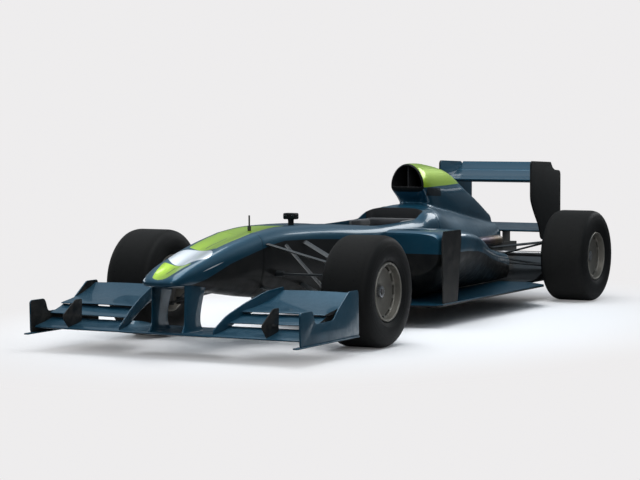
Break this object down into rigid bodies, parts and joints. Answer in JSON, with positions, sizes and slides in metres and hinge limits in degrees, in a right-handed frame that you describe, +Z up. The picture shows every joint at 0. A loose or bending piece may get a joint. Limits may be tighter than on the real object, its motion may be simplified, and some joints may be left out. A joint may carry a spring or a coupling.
{
  "type": "open wheel racing car",
  "caption": "Single-seat open wheel racing car with a raised nose, wings front and rear, sidepods, an airbox over the driver and four turning wheels, the front pair steered.",
  "frame": {"origin": "centre of the footprint on the ground, under the middle of the car's length", "axes": "+Z up; the nose points to -Y; the driver's left is +X"},
  "size_m": [1.8, 5.18, 1.026],
  "materials": {
    "painted_body": "gloss metallic",
    "carbon": "lacquered carbon fibre",
    "tyre_rubber": "matte",
    "wheel_alloy": "satin",
    "cast_alloy": "cast",
    "core_alloy": "matte",
    "steel": "satin",
    "red_lens": "gloss",
    "padding": "matte"
  },
  "bodies": {
    "chassis": {"nose_cone": "painted_body", "survival_cell": "painted_body", "headrest": "padding", "seat": "carbon", "engine_cover": "painted_body", "sidepod_left": "painted_body", "sidepod_right": "painted_body", "radiators": "core_alloy", "floor": "carbon", "bargeboards": "carbon", "sidepod_vanes": "carbon", "front_wing_main_plane": "painted_body", "front_wing_flaps": "painted_body", "front_wing_end_plates": "painted_body", "front_wing_vanes": "carbon", "front_wing_pylons": "painted_body", "rear_wing_planes": "carbon", "rear_wing_end_plates": "carbon", "beam_wing": "carbon", "engine_block": "cast_alloy", "gearbox": "cast_alloy", "rain_light": "red_lens", "exhausts": "steel", "nose_camera": "carbon", "aerials": "carbon", "front_wishbones": "carbon", "front_pushrods": "carbon", "rear_wishbones": "carbon", "rear_pullrods": "carbon", "rear_uprights": "cast_alloy"},
    "upright_left": {"front_upright_left": "cast_alloy"},
    "upright_right": {"front_upright_right": "cast_alloy"},
    "rack": {"steering_rack": "carbon"},
    "hand_wheel": {"steering_wheel": "carbon"},
    "wheel_front_left": {"front_left_tyre": "tyre_rubber", "front_left_rim": "wheel_alloy"},
    "wheel_front_right": {"front_right_tyre": "tyre_rubber", "front_right_rim": "wheel_alloy"},
    "wheel_rear_left": {"rear_left_tyre": "tyre_rubber", "rear_left_rim": "wheel_alloy", "rear_left_drive_shaft": "steel"},
    "wheel_rear_right": {"rear_right_tyre": "tyre_rubber", "rear_right_rim": "wheel_alloy", "rear_right_drive_shaft": "steel"}
  },
  "joints": [
    {"name": "steer_left", "type": "hinge", "parent": "chassis", "child": "upright_left", "pos_m": [0.62, -1.44, 0.33], "axis": [0, 0, 1], "range_deg": [-16, 16]},
    {"name": "steer_right", "type": "hinge", "parent": "chassis", "child": "upright_right", "pos_m": [-0.62, -1.44, 0.33], "axis": [0, 0, 1], "range_deg": [-16.5, 16.5]},
    {"name": "rack_slide", "type": "slide", "parent": "chassis", "child": "rack", "axis": [1, 0, 0], "range_m": [-0.025, 0.025]},
    {"name": "steering_wheel_turn", "type": "hinge", "parent": "chassis", "child": "hand_wheel", "pos_m": [0, -0.15, 0.575], "axis": [0, 0.9848, 0.1736], "range_deg": [-165, 165]},
    {"name": "spin_front_left", "type": "hinge", "parent": "upright_left", "child": "wheel_front_left", "pos_m": [0.74, -1.44, 0.33], "axis": [1, 0, 0], "continuous": true},
    {"name": "spin_front_right", "type": "hinge", "parent": "upright_right", "child": "wheel_front_right", "pos_m": [-0.74, -1.44, 0.33], "axis": [1, 0, 0], "continuous": true},
    {"name": "spin_rear_left", "type": "hinge", "parent": "chassis", "child": "wheel_rear_left", "pos_m": [0.7275, 2.01, 0.33], "axis": [1, 0, 0], "continuous": true},
    {"name": "spin_rear_right", "type": "hinge", "parent": "chassis", "child": "wheel_rear_right", "pos_m": [-0.7275, 2.01, 0.33], "axis": [1, 0, 0], "continuous": true}
  ],
  "couplings": [
    {"joint": "steer_right", "follows": "steer_left", "ratio": 1},
    {"joint": "rack_slide", "follows": "steer_left", "m_per_rad": 0.0843},
    {"joint": "steering_wheel_turn", "follows": "steer_left", "ratio": 10}
  ]
}
